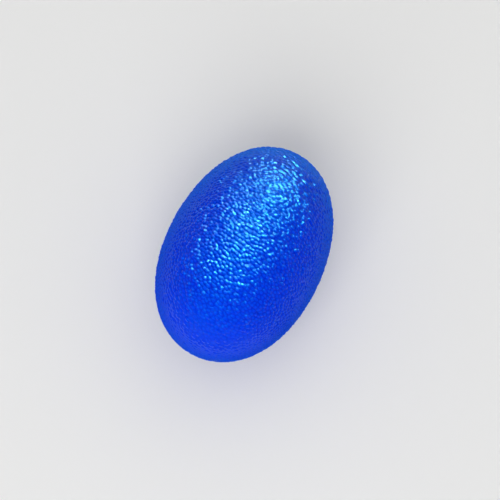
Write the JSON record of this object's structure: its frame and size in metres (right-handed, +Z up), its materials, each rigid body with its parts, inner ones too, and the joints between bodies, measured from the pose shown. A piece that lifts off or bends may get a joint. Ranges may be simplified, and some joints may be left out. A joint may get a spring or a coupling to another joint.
{
  "type": "hand grip strengthener",
  "caption": "Egg-shaped soft squeeze grip: a finely pebbled elastomer skin bonded round a gel fill and closed by a flush plug.",
  "frame": {"origin": "on the resting surface, under the centre of the egg's box", "axes": "+X along the egg towards its narrow end, +Z up from the rest flat through the finger side, Y across"},
  "size_m": [0.075, 0.052, 0.0515],
  "materials": {
    "skin": "translucent satin with a fine pebbled grain",
    "gel": "clear soft gel",
    "plug": "smooth satin"
  },
  "bodies": {
    "root": {"palm_skin_half": "skin", "gel_core": "gel", "fill_plug": "plug"},
    "finger_side": {"finger_skin_half": "skin"}
  },
  "joints": [
    {"name": "squeeze", "type": "slide", "parent": "root", "child": "finger_side", "axis": [0, 0, -1], "range_m": [0, 0.016], "stiffness_N_per_m": 5000, "deforming": ["gel_core", "palm_skin_half"]}
  ]
}
